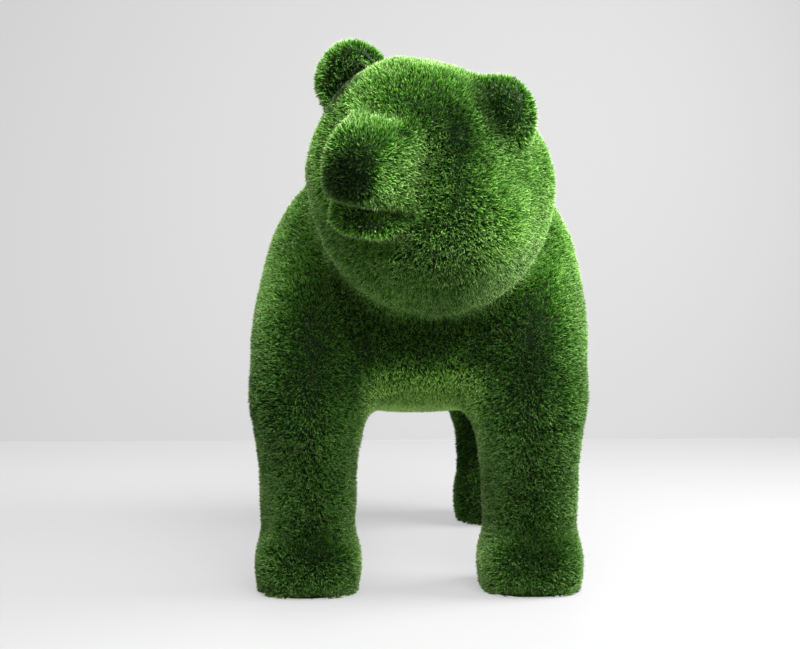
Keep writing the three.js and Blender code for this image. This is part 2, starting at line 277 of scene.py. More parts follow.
def blade_colour_group() -> bpy.types.NodeTree:
    """Makes the blade colour group: root to tip, varied by the tone of each blade.

    Returns:
        A shader node group with Tone, Along and the finish in, Color and Roughness out.
    """
    tree = bpy.data.node_groups.new("blade_colour", "ShaderNodeTree")
    face = tree.interface
    for name in ("Tone", "Along"):
        face.new_socket(name, in_out="INPUT", socket_type="NodeSocketFloat")
    for name in ("Root", "Middle", "Tip", "Thatch"):
        face.new_socket(name, in_out="INPUT", socket_type="NodeSocketColor")
    face.new_socket("Base Roughness", in_out="INPUT", socket_type="NodeSocketFloat")
    face.new_socket("Color", in_out="OUTPUT", socket_type="NodeSocketColor")
    face.new_socket("Roughness", in_out="OUTPUT", socket_type="NodeSocketFloat")
    enter = tree.nodes.new("NodeGroupInput")
    leave = tree.nodes.new("NodeGroupOutput")

    # The near-black root colour is painted shade deep in the pile.
    low = map_range(tree, (0.25, 0.75), (0.0, 1.0))
    high = map_range(tree, (0.6, 1.0), (0.0, 1.0))
    lower = mix_colours(tree)
    upper = mix_colours(tree)
    tree.links.new(enter.outputs["Along"], low.inputs["Value"])
    tree.links.new(enter.outputs["Along"], high.inputs["Value"])
    tree.links.new(low.outputs["Result"], lower.inputs["Factor"])
    # The whitish tip colour is a painted sheen, mixed in only near the end of a blade.
    tip_sheen = tree.nodes.new("ShaderNodeMath")
    tip_sheen.operation = "POWER"
    tip_sheen.inputs[1].default_value = 3.2
    tree.links.new(high.outputs["Result"], tip_sheen.inputs[0])
    tree.links.new(tip_sheen.outputs["Value"], upper.inputs["Factor"])
    tree.links.new(enter.outputs["Root"], lower.inputs[MIX_FIRST])
    tree.links.new(enter.outputs["Middle"], lower.inputs[MIX_SECOND])
    tree.links.new(lower.outputs[MIX_RESULT], upper.inputs[MIX_FIRST])
    tree.links.new(enter.outputs["Tip"], upper.inputs[MIX_SECOND])

    # The tone sets each blade's brightness; besides its random part it carries the painted shade of nose,
    # ears and legs and the painted light under the belly.
    shade = map_range(tree, (0.0, 1.0), (-0.06, 1.88))
    toned = tree.nodes.new("ShaderNodeHueSaturation")
    hue = map_range(tree, (0.0, 1.0), (0.515, 0.485))
    tree.links.new(enter.outputs["Tone"], shade.inputs["Value"])
    tree.links.new(enter.outputs["Tone"], hue.inputs["Value"])
    tree.links.new(shade.outputs["Result"], toned.inputs["Value"])
    tree.links.new(hue.outputs["Result"], toned.inputs["Hue"])
    tree.links.new(upper.outputs[MIX_RESULT], toned.inputs["Color"])

    dry = map_range(tree, (0.075, 0.055), (0.0, 1.0))
    dried = mix_colours(tree)
    tree.links.new(enter.outputs["Tone"], dry.inputs["Value"])
    tree.links.new(dry.outputs["Result"], dried.inputs["Factor"])
    tree.links.new(toned.outputs["Color"], dried.inputs[MIX_FIRST])
    tree.links.new(enter.outputs["Thatch"], dried.inputs[MIX_SECOND])
    tree.links.new(dried.outputs[MIX_RESULT], leave.inputs["Color"])

    rough = tree.nodes.new("ShaderNodeMath")
    rough.operation = "MULTIPLY_ADD"
    rough.inputs[1].default_value = -0.3
    tree.links.new(enter.outputs["Along"], rough.inputs[0])
    tree.links.new(enter.outputs["Base Roughness"], rough.inputs[2])
    tree.links.new(rough.outputs["Value"], leave.inputs["Roughness"])
    return tree


def thatch_group() -> bpy.types.NodeTree:
    """Makes the thatch group: a dark backing with lighter, dusty patches.

    Returns:
        A shader node group with Vector and the finish in, Color and Roughness out.
    """
    tree = bpy.data.node_groups.new("thatch", "ShaderNodeTree")
    face = tree.interface
    face.new_socket("Vector", in_out="INPUT", socket_type="NodeSocketVector")
    for name in ("Dark", "Light"):
        face.new_socket(name, in_out="INPUT", socket_type="NodeSocketColor")
    face.new_socket("Scale", in_out="INPUT", socket_type="NodeSocketFloat")
    face.new_socket("Color", in_out="OUTPUT", socket_type="NodeSocketColor")
    face.new_socket("Roughness", in_out="OUTPUT", socket_type="NodeSocketFloat")
    enter = tree.nodes.new("NodeGroupInput")
    leave = tree.nodes.new("NodeGroupOutput")
    noise = tree.nodes.new("ShaderNodeTexNoise")
    noise.inputs["Detail"].default_value = 3.0
    blended = mix_colours(tree)
    rough = map_range(tree, (0.0, 1.0), (0.95, 0.8))
    tree.links.new(enter.outputs["Vector"], noise.inputs["Vector"])
    tree.links.new(enter.outputs["Scale"], noise.inputs["Scale"])
    tree.links.new(noise.outputs["Fac"], blended.inputs["Factor"])
    tree.links.new(noise.outputs["Fac"], rough.inputs["Value"])
    tree.links.new(enter.outputs["Dark"], blended.inputs[MIX_FIRST])
    tree.links.new(enter.outputs["Light"], blended.inputs[MIX_SECOND])
    tree.links.new(blended.outputs[MIX_RESULT], leave.inputs["Color"])
    tree.links.new(rough.outputs["Result"], leave.inputs["Roughness"])
    return tree


def bump(distance: np.ndarray, reach: float, power: int = 2) -> np.ndarray:
    """Gives a soft bump, 1 in the middle and next to nothing past its reach.

    Args:
        distance: Distances from the bump's middle.
        reach: Distance at which it has sunk to about a third.
        power: How square its top is.

    Returns:
        The bump's height at each distance.
    """
    return np.exp(-((distance / reach) ** power))


def ramp(distance: np.ndarray, run: float) -> np.ndarray:
    """Gives a straight ramp from 0 at no distance to 1 at its run.

    Args:
        distance: Distances from the ramp's foot.
        run: Length of the ramp.

    Returns:
        The ramp's height at each distance.
    """
    return np.clip(distance / run, 0, 1)


@dataclass(frozen=True)
class HeadPose:
    """Where the head is, and how it is turned, nodding and tilted.

    Args:
        centre: Middle of the skull, in metres.
        turn_deg: Turn of the head to one side.
        nod_deg: Lowering of the muzzle.
        tilt_deg: Tilt of the head to one side.
    """

    centre: Point = (-0.0386, -0.6034, 1.095)
    turn_deg: float = 27.5
    nod_deg: float = 3.0
    tilt_deg: float = 14.0

    def local(self, points: np.ndarray) -> np.ndarray:
        """Gives points in the head's frame.

        Args:
            points: Points in the figure's frame.

        Returns:
            The same points, x to the head's left, y backwards and z upwards.
        """
        pose = (
            Matrix.Rotation(math.radians(-self.turn_deg), 3, "Z")
            @ Matrix.Rotation(math.radians(self.nod_deg), 3, "X")
            @ Matrix.Rotation(math.radians(self.tilt_deg), 3, "Y")
        )
        return (points - np.array(self.centre)) @ np.array(pose)


@dataclass(frozen=True)
class FaceCarving:
    """The fine carving of the face, in the head's frame and in metres.

    Args:
        face_low: Lowest height that it reaches.
        face_high: Greatest height that it reaches.
        face_reach: How far in front of the skull's middle it reaches.
        face_half_width: Half width of the carved face.
        mouth_height: Height of the line of the mouth at the front.
        mouth_rise: How much higher its corners are.
        mouth_rise_start: How far in front of the skull's middle it starts to rise.
        mouth_rise_run: Length over which it rises.
        mouth_depth: Depth of the line.
        mouth_width: Half width of the line.
        mouth_half_length: Half of its length from side to side.
        mouth_end: How far in front of the skull's middle it ends.
        mouth_fade: Length over which it fades out there.
        crease_depth: Depth of the valley between muzzle and cheeks.
        crease_width: Half width of that valley.
        crease_length: How far it runs along the muzzle.
        crease_size: Its outline as a multiple of the muzzle's.
        crease_top: Height at which it has faded out.
        crease_fade: Height over which it fades.
        stop_depth: Depth of the dip between the muzzle's bridge and the forehead.
        stop_height: Height of that dip.
        stop_half_height: Half height of it.
        stop_half_width: Half width of it.
        stop_lead: How far in front of the muzzle's root it lies.
        stop_length: How far it runs along the muzzle.
        root_half_width: Half width of the muzzle where it leaves the face.
        root_half_height: Half height of the muzzle there.
        root_reach: How far in front of the skull's middle that is.
        root_power: How square the muzzle's section is.
    """

    face_low: float = -0.3
    face_high: float = 0.35
    face_reach: float = 0.45
    face_half_width: float = 0.24
    mouth_height: float = -0.083
    mouth_rise: float = 0.026
    mouth_rise_start: float = 0.31
    mouth_rise_run: float = 0.12
    mouth_depth: float = 0.026
    mouth_width: float = 0.012
    mouth_half_length: float = 0.15
    mouth_end: float = 0.165
    mouth_fade: float = 0.035
    crease_depth: float = 0.016
    crease_width: float = 0.018
    crease_length: float = 0.055
    crease_size: float = 1.1
    crease_top: float = 0.15
    crease_fade: float = 0.06
    stop_depth: float = 0.018
    stop_height: float = 0.175
    stop_half_height: float = 0.03
    stop_half_width: float = 0.1
    stop_lead: float = 0.02
    stop_length: float = 0.045
    root_half_width: float = 0.118
    root_half_height: float = 0.16
    root_reach: float = 0.205
    root_power: float = 4.0

    def depth(self, local: np.ndarray) -> np.ndarray:
        """Works out how deep the carving is at each point.

        Args:
            local: Points in the head's frame.

        Returns:
            Depth under the smooth form, in metres.
        """
        x, y, z = local.T
        near = (z > self.face_low) & (z < self.face_high)
        near &= (y < 0.0) & (y > -self.face_reach) & (np.abs(x) < self.face_half_width)
        return np.where(near, self._mouth(x, y, z) + self._crease(x, y, z) + self._stop(x, y, z), 0.0)

    def _mouth(self, x: np.ndarray, y: np.ndarray, z: np.ndarray) -> np.ndarray:
        """Carves the line of the mouth, which rises towards its corners.

        Args:
            x: Distances to the head's left.
            y: Distances backwards.
            z: Heights.

        Returns:
            Its depth.
        """
        line = self.mouth_height + self.mouth_rise * ramp(y + self.mouth_rise_start, self.mouth_rise_run)
        inside = ramp(-self.mouth_end - y, self.mouth_fade) * (np.abs(x) < self.mouth_half_length)
        return self.mouth_depth * bump(z - line, self.mouth_width) * inside

    def _crease(self, x: np.ndarray, y: np.ndarray, z: np.ndarray) -> np.ndarray:
        """Carves the valley around the muzzle's root, open at the top.

        Args:
            x: Distances to the head's left.
            y: Distances backwards.
            z: Heights.

        Returns:
            Its depth.
        """
        across = np.abs(x / self.root_half_width) ** self.root_power
        upright = np.abs(z / self.root_half_height) ** self.root_power
        section = (across + upright) ** (1 / self.root_power)
        off = (section - self.crease_size) * self.root_half_width
        along = bump(y + self.root_reach, self.crease_length)
        below = ramp(self.crease_top - z, self.crease_fade)
        return self.crease_depth * bump(off, self.crease_width) * along * below

    def _stop(self, x: np.ndarray, y: np.ndarray, z: np.ndarray) -> np.ndarray:
        """Carves the dip over the muzzle's bridge.

        Args:
            x: Distances to the head's left.
            y: Distances backwards.
            z: Heights.

        Returns:
            Its depth.
        """
        dip = self.stop_depth * bump(z - self.stop_height, self.stop_half_height)
        along = bump(y + self.root_reach + self.stop_lead, self.stop_length)
        return dip * bump(x, self.stop_half_width, 4) * along


@dataclass(frozen=True)
class PaintedFaceShade:
    """Where painted shade darkens the turf of the head, in the head's frame and in metres.

    Args:
        nose_painted_shade: How much painted shade darkens the end of the nose.
        nose_radius: Radius of it.
        nose_shift: How far it is off the head's middle.
        nose_height: Height of its middle.
        nose_start: How far in front of the skull's middle it starts.
        nose_fade: Length over which it fades in.
        ear_spread: Half distance between the ears.
        ear_shift: Sideways shift of both ears.
        ear_height: Height of the ears' middles.
        ear_back: How far behind the skull's middle an ear's front ends.
        ear_fade: Length over which the shade fades there.
        cup_painted_shade: How much painted shade darkens the cup of an ear.
        cup_radius: Radius of the cup.
        cup_front: How far in front of the skull's middle it starts.
        cup_fade: Length over which it fades in.
        cup_low: Height under which there is no cup.
        root_painted_shade: How much painted shade darkens the crease at the root of an ear.
        root_drop: How far the root is under the cup's middle.
        root_inset: How far it is inside the cup's middle.
        root_length: Half length of the root.
        root_width: Half width of it.
        root_lean_deg: How far its top leans inwards.
        root_front: How far in front of the skull's middle it starts.
        root_fade: Length over which it fades in.
    """

    nose_painted_shade: float = 0.95
    nose_radius: float = 0.057
    nose_shift: float = 0.004
    nose_height: float = 0.01
    nose_start: float = 0.296
    nose_fade: float = 0.04
    ear_spread: float = 0.187
    ear_shift: float = -0.032
    ear_height: float = 0.186
    ear_back: float = 0.095
    ear_fade: float = 0.02
    cup_painted_shade: float = 0.7
    cup_radius: float = 0.07
    cup_front: float = 0.07
    cup_fade: float = 0.03
    cup_low: float = 0.08
    root_painted_shade: float = 0.92
    root_drop: float = 0.04
    root_inset: float = 0.028
    root_length: float = 0.085
    root_width: float = 0.04
    root_lean_deg: float = 47.0
    root_front: float = 0.15
    root_fade: float = 0.04

    def tone(self, local: np.ndarray) -> np.ndarray:
        """Works out the painted shade on the end of the nose and in the ears.

        Args:
            local: Points in the head's frame.

        Returns:
            A factor of the blades' tone, 1 where no shade is painted.
        """
        x, y, z = local.T
        nose = bump(np.hypot(x - self.nose_shift, z - self.nose_height), self.nose_radius, 4)
        dark = self.nose_painted_shade * nose * ramp(-self.nose_start - y, self.nose_fade)
        for side in (-1, 1):
            out = side * (x - self.ear_shift) - self.ear_spread
            dark = np.maximum(dark, self._painted_ear_shade(out, y, z - self.ear_height))
        return 1.0 - dark

    def _painted_ear_shade(self, out: np.ndarray, y: np.ndarray, up: np.ndarray) -> np.ndarray:
        """Paints shade into the cup of an ear and into the crease at its root, where it joins the skull.

        Args:
            out: Distances outwards from the ear's middle.
            y: Distances backwards from the skull's middle.
            up: Heights over the ear's middle.

        Returns:
            How much the painted shade darkens the turf.
        """
        front = ramp(self.ear_back - y, self.ear_fade)
        cup = bump(np.hypot(out, up), self.cup_radius, 4) * front * ramp(y + self.cup_front, self.cup_fade)
        cup *= up + self.ear_height > self.cup_low
        lean = math.radians(self.root_lean_deg)
        inwards = out + self.root_inset
        upwards = up + self.root_drop
        along = upwards * math.cos(lean) - inwards * math.sin(lean)
        across = upwards * math.sin(lean) + inwards * math.cos(lean)
        root = bump(np.hypot(along / self.root_length, across / self.root_width), 1.0, 4)
        root *= front * ramp(y + self.root_front, self.root_fade)
        return np.maximum(self.cup_painted_shade * cup, self.root_painted_shade * root)


@dataclass
class FigureSurface:
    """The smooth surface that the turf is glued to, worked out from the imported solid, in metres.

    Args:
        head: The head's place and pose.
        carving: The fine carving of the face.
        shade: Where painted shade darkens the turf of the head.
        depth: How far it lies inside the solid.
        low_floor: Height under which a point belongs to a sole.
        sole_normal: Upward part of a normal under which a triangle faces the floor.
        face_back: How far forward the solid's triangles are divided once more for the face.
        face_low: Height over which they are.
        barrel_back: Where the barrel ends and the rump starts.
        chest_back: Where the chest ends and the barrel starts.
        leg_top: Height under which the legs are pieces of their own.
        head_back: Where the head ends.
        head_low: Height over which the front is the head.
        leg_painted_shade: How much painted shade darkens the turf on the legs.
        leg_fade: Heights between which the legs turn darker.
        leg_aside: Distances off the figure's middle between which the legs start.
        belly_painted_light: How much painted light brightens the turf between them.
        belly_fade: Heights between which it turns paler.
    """

    head: HeadPose
    carving: FaceCarving
    shade: PaintedFaceShade
    depth: float = PILE_DEPTH
    low_floor: float = 0.004
    sole_normal: float = -0.8
    face_back: float = -0.5
    face_low: float = 0.85
    barrel_back: float = 0.42
    chest_back: float = -0.06
    leg_top: float = 0.42
    head_back: float = -0.38
    head_low: float = 0.74
    leg_painted_shade: float = 0.42
    leg_fade: tuple[float, float] = (0.58, 0.88)
    leg_aside: tuple[float, float] = (0.11, 0.19)
    belly_painted_light: float = 1.3
    belly_fade: tuple[float, float] = (0.56, 0.61)
    points: np.ndarray = field(init=False)
    normals: np.ndarray = field(init=False)
    faces: np.ndarray = field(init=False)

    def build(self) -> "FigureSurface":
        """Merges, refines and smooths a copy of the solid, then draws it in by pile and carving.

        Returns:
            This surface, with its points, normals and triangles filled in.
        """
        mesh = frame["nodes"][NODE].data.copy()
        shape = bmesh.new()
        shape.from_mesh(mesh)
        bmesh.ops.remove_doubles(shape, verts=shape.verts, dist=1e-5)
        bmesh.ops.recalc_face_normals(shape, faces=shape.faces)
        bmesh.ops.subdivide_edges(shape, edges=shape.edges[:], cuts=1, smooth=0.6, use_grid_fill=True)
        bmesh.ops.triangulate(shape, faces=shape.faces[:])
        above = [v for v in shape.verts if v.co.z > self.low_floor]
        for _ in range(2):
            bmesh.ops.smooth_vert(
                shape, verts=above, factor=0.3, use_axis_x=True, use_axis_y=True, use_axis_z=True
            )
        face = [
            edge
            for edge in shape.edges
            if max(v.co.y for v in edge.verts) < self.face_back and edge.verts[0].co.z > self.face_low
        ]
        bmesh.ops.subdivide_edges(shape, edges=face, cuts=1, smooth=0.3, use_grid_fill=True)
        bmesh.ops.triangulate(shape, faces=shape.faces[:])
        shape.normal_update()
        self.points = np.array([v.co for v in shape.verts])
        self.normals = np.array([v.normal for v in shape.verts])
        self.faces = np.array([[v.index for v in f.verts] for f in shape.faces])
        shape.free()
        bpy.data.meshes.remove(mesh)
        self._draw_in()
        return self

    def _draw_in(self) -> None:
        """Moves each point inwards along its normal; a sole stays on the floor and only shrinks."""
        inward = self.normals.copy()
        sole = self.points[:, 2] < self.low_floor
        inward[sole, 2] = 0.0
        carved = self.depth + self.carving.depth(self.head.local(self.points))
        self.points = self.points - inward * carved[:, None]
        self.points[sole, 2] = SOLE_HEIGHT
        self.points[:, 2] = np.maximum(self.points[:, 2], SOLE_HEIGHT)

    def region_of_faces(self) -> np.ndarray:
        """Sorts the triangles by region.

        Returns:
            One Region value per triangle, or an empty string for the bare soles.
        """
        middle = self.points[self.faces].mean(axis=1)
        edge_a = self.points[self.faces[:, 1]] - self.points[self.faces[:, 0]]
        edge_b = self.points[self.faces[:, 2]] - self.points[self.faces[:, 0]]
        normal = np.cross(edge_a, edge_b)
        normal /= np.maximum(np.linalg.norm(normal, axis=1, keepdims=True), 1e-12)
        y, z = middle[:, 1], middle[:, 2]
        region = np.full(len(middle), Region.RUMP.value, dtype=object)
        region[(y < self.barrel_back) & (z > self.leg_top)] = Region.BARREL.value
        region[(y < self.chest_back) & (z > self.leg_top)] = Region.CHEST.value
        region[(y < self.chest_back) & (z <= self.leg_top)] = Region.FRONT_LEGS.value
        region[(z > self.head_low) & (y < self.head_back)] = Region.HEAD.value
        region[(z < self.low_floor) & (normal[:, 2] < self.sole_normal)] = ""
        return region

    def _low_painted_light(self, points: np.ndarray) -> np.ndarray:
        """Works out the painted light low down: painted shade on the legs, painted light under the belly.

        Args:
            points: Points in the figure's frame.

        Returns:
            A factor of the blades' tone.
        """
        inner, outer = self.leg_aside
        aside = ramp(np.abs(points[:, 0]) - inner, outer - inner)
        low, high = self.leg_fade
        leg = ramp(high - points[:, 2], high - low)
        low, high = self.belly_fade
        belly = ramp(high - points[:, 2], high - low)
        return 1.0 - self.leg_painted_shade * leg * aside + self.belly_painted_light * belly * (1.0 - aside)

    def to_mesh(self, name: str, chosen: np.ndarray | None = None) -> bpy.types.Mesh:
        """Makes a smooth mesh of the surface or of some of its triangles.

        Args:
            name: Name of the mesh.
            chosen: Mask of the triangles to keep, or None for all.

        Returns:
            The mesh, with only the points that it uses.
        """
        faces = self.faces if chosen is None else self.faces[chosen]
        used, where = np.unique(faces, return_inverse=True)
        mesh = bpy.data.meshes.new(name)
        mesh.from_pydata(self.points[used].tolist(), [], where.reshape(-1, 3).tolist())
        mesh.shade_smooth()
        mesh.update()
        # The shade attribute holds painted shade on the nose, ears and legs and painted light under the
        # belly.
        shade = mesh.attributes.new(PAINTED_LIGHT_ATTRIBUTE, "FLOAT", "POINT")
        tone = self.shade.tone(self.head.local(self.points[used])) * self._low_painted_light(self.points[used])
        shade.data.foreach_set("value", tone.astype(np.float32))
        return mesh


@dataclass
class TuftSet:
    """A few different tufts of blades, from which the turf picks at random.

    Args:
        variants: How many different tufts there are.
        blades: Straight blades in a tuft.
        curls: Curled blades in a tuft.
        radius: Radius of the disc that the blades spring from, in metres.
        height: Length of a blade, in metres.
        width: Width of a blade, in metres.
        lean: How far a blade leans outwards as a rule, in radians.
        lean_spread: How far that strays.
        shortest: Shortest blade as a share of the height.
        longest: Longest blade as a share of it.
        curl_width: Half width of a curled blade as a share of the width.
        curl_bend: How far its tip bends aside as a share of its length.
        dry_share: Share of the curled blades that are dry.
        seed: Seed of the tufts' own random numbers.
    """

    variants: int = 10
    blades: int = 9
    curls: int = 1
    radius: float = 0.0055
    height: float = 0.0225
    width: float = 0.0028
    lean: float = 0.24
    lean_spread: float = 0.15
    shortest: float = 0.86
    longest: float = 1.08
    curl_width: float = 0.45
    curl_bend: float = 0.35
    dry_share: float = 0.35
    seed: int = 11

    def triangles_each(self) -> int:
        """Counts the triangles of one tuft.

        Returns:
            One triangle per straight blade and three per curled one.
        """
        return self.blades + 3 * self.curls

    def build(self, material: bpy.types.Material) -> bpy.types.Collection:
        """Makes the tufts in a collection that isn't shown.

        Args:
            material: The blades' material.

        Returns:
            The collection of tuft objects.
        """
        rng = np.random.default_rng(self.seed)
        collection = bpy.data.collections.new("tufts")
        for number in range(self.variants):
            points: list[Point] = []
            faces: list[Face] = []
            coords: list[Coord] = []
            for _ in range(self.blades):
                self._straight(rng, points, faces, coords)
            for _ in range(self.curls):
                self._curled(rng, points, faces, coords)
            mesh = bpy.data.meshes.new(f"tuft_{number}")
            mesh.from_pydata(points, [], faces)
            layer = mesh.uv_layers.new(name=UV_NAME)
            layer.data.foreach_set("uv", np.array(coords, np.float32).ravel())
            mesh.materials.append(material)
            collection.objects.link(bpy.data.objects.new(f"tuft_{number}", mesh))
        return collection

    def _foot(self, rng: np.random.Generator) -> tuple[Vector, Vector, Vector, float]:
        """Places one blade in its tuft.

        Args:
            rng: The tufts' random numbers.

        Returns:
            Its foot, the direction it leans in, its flat side's direction and its length.
        """
        angle = rng.uniform(0, 2 * math.pi)
        out = Vector((math.cos(angle), math.sin(angle), 0.0))
        foot = out * self.radius * math.sqrt(rng.uniform(0, 1))
        turn = rng.uniform(0, 2 * math.pi)
        side = Vector((math.cos(turn), math.sin(turn), 0.0))
        lean = rng.normal(self.lean, self.lean_spread)
        length = self.height * rng.uniform(self.shortest, self.longest)
        direction = (out * math.sin(lean) + Vector((0, 0, 1)) * math.cos(lean)).normalized()
        return foot, direction, side, length

    def _straight(
        self, rng: np.random.Generator, points: list[Point], faces: list[Face], coords: list[Coord]
    ) -> None:
        """Adds a straight blade, one triangle that is widest over its middle.

        Args:
            rng: The tufts' random numbers.
            points: Point list that it adds to.
            faces: Face list that it adds to.
            coords: UV list that it adds to: tone across, root to tip upwards.
        """
        foot, direction, side, length = self._foot(rng)
        widest = rng.uniform(0.55, 0.72)
        edge = foot + direction * length * widest + side * self.width * rng.uniform(0.85, 1.15)
        start = len(points)
        tone = rng.uniform(*BLADE_TONES)
        points += [tuple(foot), tuple(edge), tuple(foot + direction * length)]
        faces.append((start, start + 1, start + 2))
        coords += [(tone - TONE_STEP, 0.0), (tone + TONE_STEP, widest), (tone - TONE_STEP, 1.0)]

    def _curled(
        self, rng: np.random.Generator, points: list[Point], faces: list[Face], coords: list[Coord]
    ) -> None:
        """Adds a short curled blade, green or of dry thatch, three triangles.

        Args:
            rng: The tufts' random numbers.
            points: Point list that it adds to.
            faces: Face list that it adds to.
            coords: UV list that it adds to.
        """
        foot, direction, side, length = self._foot(rng)
        half = side * self.width * self.curl_width
        bend = Vector((-direction.y, direction.x, 0.0)) * length * self.curl_bend
        middle = foot + direction * length * 0.5
        tip = foot + direction * length * rng.uniform(0.8, 1.0) + bend
        start = len(points)
        tone = rng.choice([DRY_TONE, rng.uniform(*BLADE_TONES)], p=[self.dry_share, 1 - self.dry_share])
        left = tone - TONE_STEP
        right = tone + TONE_STEP
        points += [tuple(foot - half), tuple(foot + half)]
        points += [tuple(middle - half), tuple(middle + half), tuple(tip)]
        faces += [(start, start + 1, start + 3), (start, start + 3, start + 2)]
        faces.append((start + 2, start + 3, start + 4))
        coords += [(left, 0.0), (right, 0.0), (right, 0.5)]
        coords += [(left, 0.0), (right, 0.5), (left, 0.5)]
        coords += [(left, 0.5), (right, 0.5), (tone, 1.0)]


@dataclass
class TurfGrower:
    """The Geometry Nodes tree that spreads tufts over a surface.

    Args:
        tufts: Collection that the tufts are picked from.
        material: The blades' material.
        seed: Seed of the spread.
        tilt: Largest tilt of a tuft off the surface's normal, in radians.
        patch: How many tone patches there are per metre.
        tuft_share: How much of a blade's tone is its tuft's.
        crowding: How many points are tried for each square of the spacing.
    """

    tufts: bpy.types.Collection
    material: bpy.types.Material
    seed: int = 4
    tilt: float = 0.18
    patch: float = 5.0
    tuft_share: float = 0.4
    crowding: float = 5.0
    tree: bpy.types.NodeTree = field(init=False)

    def __post_init__(self) -> None:
        """Builds the tree once; every region uses it with its own spacing and seed."""
        self.tree = bpy.data.node_groups.new("grow_turf", "GeometryNodeTree")
        face = self.tree.interface
        face.new_socket("Geometry", in_out="INPUT", socket_type="NodeSocketGeometry")
        face.new_socket("Spacing", in_out="INPUT", socket_type="NodeSocketFloat")
        face.new_socket("Greatest Density", in_out="INPUT", socket_type="NodeSocketFloat")
        face.new_socket("Tilt", in_out="INPUT", socket_type="NodeSocketFloat")
        face.new_socket("Patch Scale", in_out="INPUT", socket_type="NodeSocketFloat")
        face.new_socket("Seed", in_out="INPUT", socket_type="NodeSocketInt")
        face.new_socket("Geometry", in_out="OUTPUT", socket_type="NodeSocketGeometry")
        enter = self._node("NodeGroupInput")
        leave = self._node("NodeGroupOutput")

        spread = self._node("GeometryNodeDistributePointsOnFaces")
        spread.distribute_method = "POISSON"
        self._link(enter, "Geometry", spread, "Mesh")
        self._link(enter, "Spacing", spread, "Distance Min")
        self._link(enter, "Greatest Density", spread, "Density Max")
        self._link(enter, "Seed", spread, "Seed")

        picked = self._node("GeometryNodeCollectionInfo")
        picked.inputs["Collection"].default_value = self.tufts
        picked.inputs["Separate Children"].default_value = True
        picked.inputs["Reset Children"].default_value = True
        place = self._node("GeometryNodeInstanceOnPoints")
        place.inputs["Pick Instance"].default_value = True
        self._link(spread, "Points", place, "Points")
        self._link(picked, "Instances", place, "Instance")
        self._link(spread, "Rotation", place, "Rotation")
        size = self._random("FLOAT", 0.9, 1.1, 2)
        self.tree.links.new(size.outputs[RANDOM_NUMBER], place.inputs["Scale"])

        spin = self._node("GeometryNodeRotateInstances")
        angles = self._random("FLOAT_VECTOR", (0, 0, 0), (0, 0, 2 * math.pi), 3)
        self._link(place, "Instances", spin, "Instances")
        self.tree.links.new(angles.outputs[RANDOM_VECTOR], spin.inputs["Rotation"])
        lean = self._node("GeometryNodeRotateInstances")
        sway = self._random("FLOAT_VECTOR", (-1, -1, 0), (1, 1, 0), 5)
        scaled = self._node("ShaderNodeVectorMath")
        scaled.operation = "SCALE"
        self.tree.links.new(sway.outputs[RANDOM_VECTOR], scaled.inputs[0])
        self._link(enter, "Tilt", scaled, "Scale")
        self._link(spin, "Instances", lean, "Instances")
        self.tree.links.new(scaled.outputs["Vector"], lean.inputs["Rotation"])

        tone = self._tone(enter)
        keep = self._node("GeometryNodeStoreNamedAttribute")
        keep.domain = "INSTANCE"
        keep.data_type = "FLOAT"
        keep.inputs["Name"].default_value = TUFT_ATTRIBUTE
        self._link(lean, "Instances", keep, "Geometry")
        self.tree.links.new(tone, keep.inputs["Value"])

        real = self._node("GeometryNodeRealizeInstances")
        self._link(keep, "Geometry", real, "Geometry")
        toned = self._store_uv(real)
        paint = self._node("GeometryNodeSetMaterial")
        paint.inputs["Material"].default_value = self.material
        self._link(toned, "Geometry", paint, "Geometry")
        self._link(paint, "Geometry", leave, "Geometry")

    def _node(self, kind: str) -> bpy.types.Node:
        """Adds a node.

        Args:
            kind: Its type name.

        Returns:
            The node.
        """
        return self.tree.nodes.new(kind)

    def _link(self, source: bpy.types.Node, out: str, target: bpy.types.Node, into: str | int) -> None:
        """Joins two sockets.

        Args:
            source: Node that the link leaves.
            out: Name of its output.
            target: Node that the link enters.
            into: Name or number of its input.
        """
        self.tree.links.new(source.outputs[out], target.inputs[into])

    def _random(self, kind: str, low: float | Point, high: float | Point, seed: int) -> bpy.types.Node:
        """Adds a random value node.

        Args:
            kind: FLOAT or FLOAT_VECTOR.
            low: Least value.
            high: Greatest value.
            seed: Its seed.

        Returns:
            The node, whose outputs are RANDOM_VECTOR and RANDOM_NUMBER.
        """
        node = self._node("FunctionNodeRandomValue")
        node.data_type = kind
        first = 0 if kind == "FLOAT_VECTOR" else 2
        node.inputs[first].default_value = low
        node.inputs[first + 1].default_value = high
        node.inputs["Seed"].default_value = seed
        return node

    def _tone(self, enter: bpy.types.Node) -> bpy.types.NodeSocket:
        """Works out each tuft's tone from soft patches and chance.

        Args:
            enter: The group input node.

        Returns:
            The socket that gives the tone, from 0 to 1.
        """
        place = self._node("GeometryNodeInputPosition")
        noise = self._node("ShaderNodeTexNoise")
        noise.inputs["Detail"].default_value = 2.0
        self._link(place, "Position", noise, "Vector")
        self._link(enter, "Patch Scale", noise, "Scale")
        spread = map_range(self.tree, (0.3, 0.7), (0.0, 1.0))
        self._link(noise, "Fac", spread, "Value")
        chance = self._random("FLOAT", 0.0, 1.0, 7)
        mixed = self._node("ShaderNodeMix")
        mixed.inputs["Factor"].default_value = 0.5
        self.tree.links.new(spread.outputs["Result"], mixed.inputs["A"])
        self.tree.links.new(chance.outputs[RANDOM_NUMBER], mixed.inputs["B"])
        return mixed.outputs["Result"]

